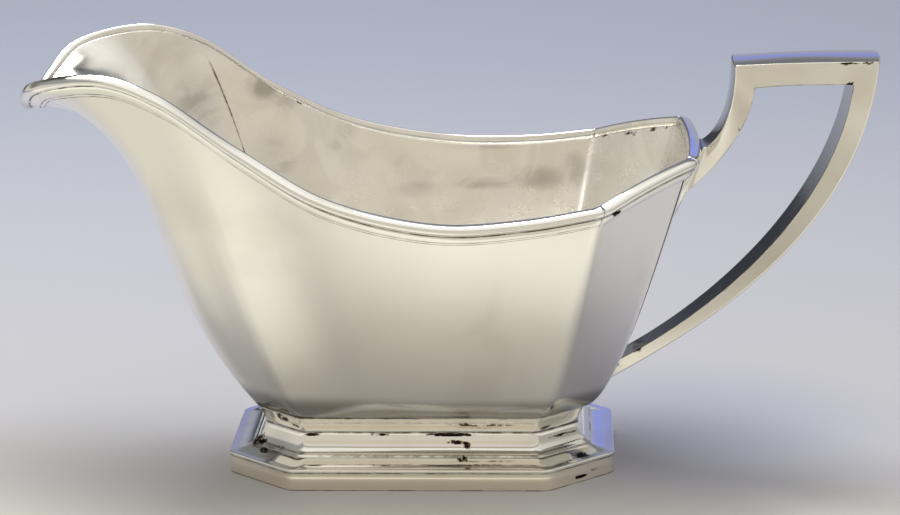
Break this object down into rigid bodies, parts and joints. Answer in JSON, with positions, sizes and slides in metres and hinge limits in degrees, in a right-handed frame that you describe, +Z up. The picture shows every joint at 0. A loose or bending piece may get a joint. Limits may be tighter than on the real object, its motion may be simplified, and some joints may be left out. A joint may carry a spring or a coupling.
{
  "type": "sauce boat",
  "caption": "Panelled sauce boat with a flared spout, moulded rim wire, hollow stepped foot with an edge band and a squared strap handle.",
  "frame": {"origin": "on the resting plane, under the middle of the whole object", "axes": "+Z up, +X towards the handle, -X towards the spout, mirror plane Y = 0"},
  "size_m": [0.1986, 0.0932, 0.0992],
  "materials": {
    "bowl_silver": "polished silver plate with soft wear",
    "wire_silver": "bright polished silver plate",
    "foot_silver": "polished silver plate with tarnish in the steps",
    "cast_silver": "polished cast silver plate"
  },
  "bodies": {
    "root": {"bowl": "bowl_silver", "rim_wire_front": "wire_silver", "rim_wire_rear_right": "wire_silver", "rim_wire_rear_left": "wire_silver", "rim_wire_end": "wire_silver", "foot": "foot_silver", "foot_edge_band": "wire_silver", "handle": "cast_silver", "handle_backing_plate": "bowl_silver"}
  },
  "joints": []
}
